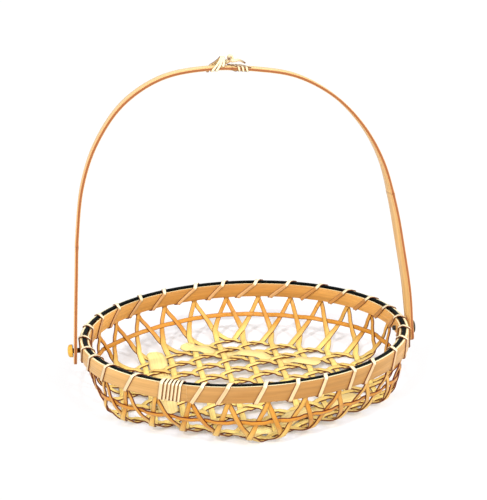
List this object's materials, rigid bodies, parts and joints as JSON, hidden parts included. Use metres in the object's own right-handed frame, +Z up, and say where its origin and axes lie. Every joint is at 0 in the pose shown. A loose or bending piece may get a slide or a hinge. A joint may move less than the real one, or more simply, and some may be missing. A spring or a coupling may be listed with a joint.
{
  "type": "handled bamboo basket",
  "caption": "Shallow round basket of split bamboo in an open hexagonal weave, with a cane-lashed hoop rim and a swinging bail handle.",
  "frame": {"origin": "on the table under the middle of the rim", "axes": "+X to the right through the two handle pegs, +Y to the back, +Z up"},
  "size_m": [0.2578, 0.2421, 0.2468],
  "materials": {
    "weave_bamboo": "split bamboo, satin skin, honey colour",
    "wide_bamboo": "split bamboo, pale satin",
    "hoop_bamboo": "planed bamboo, light tan",
    "dark_filler": "stained cane, nearly black",
    "lashing_cane": "split cane, cream",
    "handle_bamboo": "bent bamboo, pale face and brown edge",
    "peg_bamboo": "turned bamboo, golden"
  },
  "bodies": {
    "basket": {"cross_strip_1": "weave_bamboo", "cross_strip_2": "weave_bamboo", "cross_strip_3": "weave_bamboo", "cross_strip_4": "weave_bamboo", "cross_strip_5": "weave_bamboo", "cross_strip_6": "weave_bamboo", "cross_strip_7": "weave_bamboo", "cross_strip_8": "weave_bamboo", "cross_strip_9": "weave_bamboo", "cross_strip_10": "weave_bamboo", "left_slant_strip_1": "weave_bamboo", "left_slant_strip_2": "weave_bamboo", "left_slant_strip_3": "weave_bamboo", "left_slant_strip_4": "weave_bamboo", "left_slant_strip_5": "weave_bamboo", "left_slant_strip_6": "weave_bamboo", "left_slant_strip_7": "weave_bamboo", "left_slant_strip_8": "weave_bamboo", "left_slant_strip_9": "weave_bamboo", "right_slant_strip_1": "weave_bamboo", "right_slant_strip_2": "weave_bamboo", "right_slant_strip_3": "weave_bamboo", "right_slant_strip_4": "weave_bamboo", "right_slant_strip_5": "weave_bamboo", "right_slant_strip_6": "weave_bamboo", "right_slant_strip_7": "weave_bamboo", "right_slant_strip_8": "weave_bamboo", "right_slant_strip_9": "weave_bamboo", "wall_ring_strip": "weave_bamboo", "wide_strip_back": "wide_bamboo", "wide_strip_left": "wide_bamboo", "wide_strip_front": "wide_bamboo", "outer_hoop": "hoop_bamboo", "inner_hoop": "hoop_bamboo", "rim_filler": "dark_filler", "rim_lashing_front": "lashing_cane", "rim_lashing_back": "lashing_cane", "rim_joint_lashing": "lashing_cane", "left_peg": "peg_bamboo", "right_peg": "peg_bamboo"},
    "handle": {"handle_strip": "handle_bamboo", "handle_tall_binding": "lashing_cane", "handle_low_binding": "lashing_cane", "handle_knot": "lashing_cane"}
  },
  "joints": [
    {"name": "handle_swing", "type": "hinge", "parent": "basket", "child": "handle", "pos_m": [0, 0, 0.0388], "axis": [1, 0, 0], "range_deg": [-94, 102]}
  ]
}
